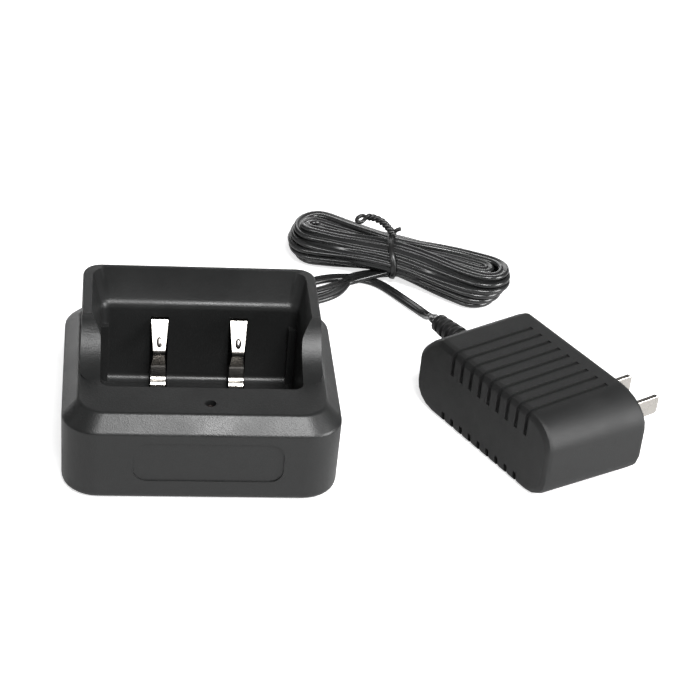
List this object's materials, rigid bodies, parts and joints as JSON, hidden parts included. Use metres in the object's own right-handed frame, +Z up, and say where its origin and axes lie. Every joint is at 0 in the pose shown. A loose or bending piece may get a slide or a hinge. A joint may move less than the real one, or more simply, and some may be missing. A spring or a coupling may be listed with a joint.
{
  "type": "two-way radio desk charger",
  "caption": "Desk charging cradle for a handheld radio, with two sprung contacts, a bundled twin-core cord and a two-blade wall adapter.",
  "frame": {"origin": "on the table, under the middle of the whole set's bounding box; the cradle's footprint centre is at (-0.0508, -0.0432, 0)", "axes": "+X to the right of someone facing the cradle's front, +Y towards its back, +Z up"},
  "size_m": [0.1842, 0.1568, 0.0415],
  "materials": {
    "charcoal_plastic": "fine moulded grain, satin sheen",
    "adapter_plastic": "fine moulded grain, darker than the cradle",
    "foot_rubber": "dull",
    "zinc_screw": "zinc plated",
    "nickel_strip": "bright nickel plate",
    "nickel_blade": "brushed nickel plate",
    "cord_vinyl": "glossy soft vinyl",
    "relief_vinyl": "satin moulded vinyl",
    "tie_ribbon": "plastic ribbon over wire",
    "board_laminate": "green solder mask",
    "chip_resin": "moulded resin",
    "capacitor_sleeve": "shrink sleeve",
    "led_lens": "tinted clear resin, unlit",
    "jack_resin": "moulded",
    "ferrite_core": "ground ferrite",
    "winding_tape": "yellow tape"
  },
  "bodies": {
    "cradle": {"top_housing": "charcoal_plastic", "bottom_cover": "charcoal_plastic", "rubber_foot_front_left": "foot_rubber", "rubber_foot_front_right": "foot_rubber", "rubber_foot_rear_left": "foot_rubber", "rubber_foot_rear_right": "foot_rubber", "housing_screw_front_left": "zinc_screw", "housing_screw_front_right": "zinc_screw", "housing_screw_rear_left": "zinc_screw", "housing_screw_rear_right": "zinc_screw", "charge_board": "board_laminate", "charge_controller": "chip_resin", "drive_transistor": "chip_resin", "sense_resistor": "chip_resin", "board_capacitor": "capacitor_sleeve", "status_led": "led_lens", "power_jack": "jack_resin", "jack_pin": "nickel_strip", "contact_lead_left": "nickel_strip", "contact_lead_right": "nickel_strip"},
    "contact_left": {"contact_spring_left": "nickel_strip"},
    "contact_right": {"contact_spring_right": "nickel_strip"},
    "supply": {"plug_barrel": "nickel_strip", "plug_body": "relief_vinyl", "power_cord": "cord_vinyl", "twist_tie": "tie_ribbon", "strain_relief": "relief_vinyl", "adapter_case": "adapter_plastic", "adapter_cover": "adapter_plastic", "plug_blade_1": "nickel_blade", "plug_blade_2": "nickel_blade", "adapter_board": "board_laminate", "transformer_core": "ferrite_core", "transformer_winding": "winding_tape", "input_capacitor": "capacitor_sleeve", "output_capacitor": "capacitor_sleeve", "line_fuse": "winding_tape", "switch_controller": "chip_resin"}
  },
  "joints": [
    {"name": "contact_left_press", "type": "hinge", "parent": "cradle", "child": "contact_left", "pos_m": [-0.0629, -0.0317, 0.008], "axis": [-1, 0, 0], "range_deg": [0, 15], "stiffness_Nm_per_rad": 0.002},
    {"name": "contact_right_press", "type": "hinge", "parent": "cradle", "child": "contact_right", "pos_m": [-0.0387, -0.0317, 0.008], "axis": [-1, 0, 0], "range_deg": [0, 15], "stiffness_Nm_per_rad": 0.002},
    {"name": "plug_withdraw", "type": "slide", "parent": "cradle", "child": "supply", "axis": [0, 1, 0], "range_m": [0, 0.015]}
  ]
}
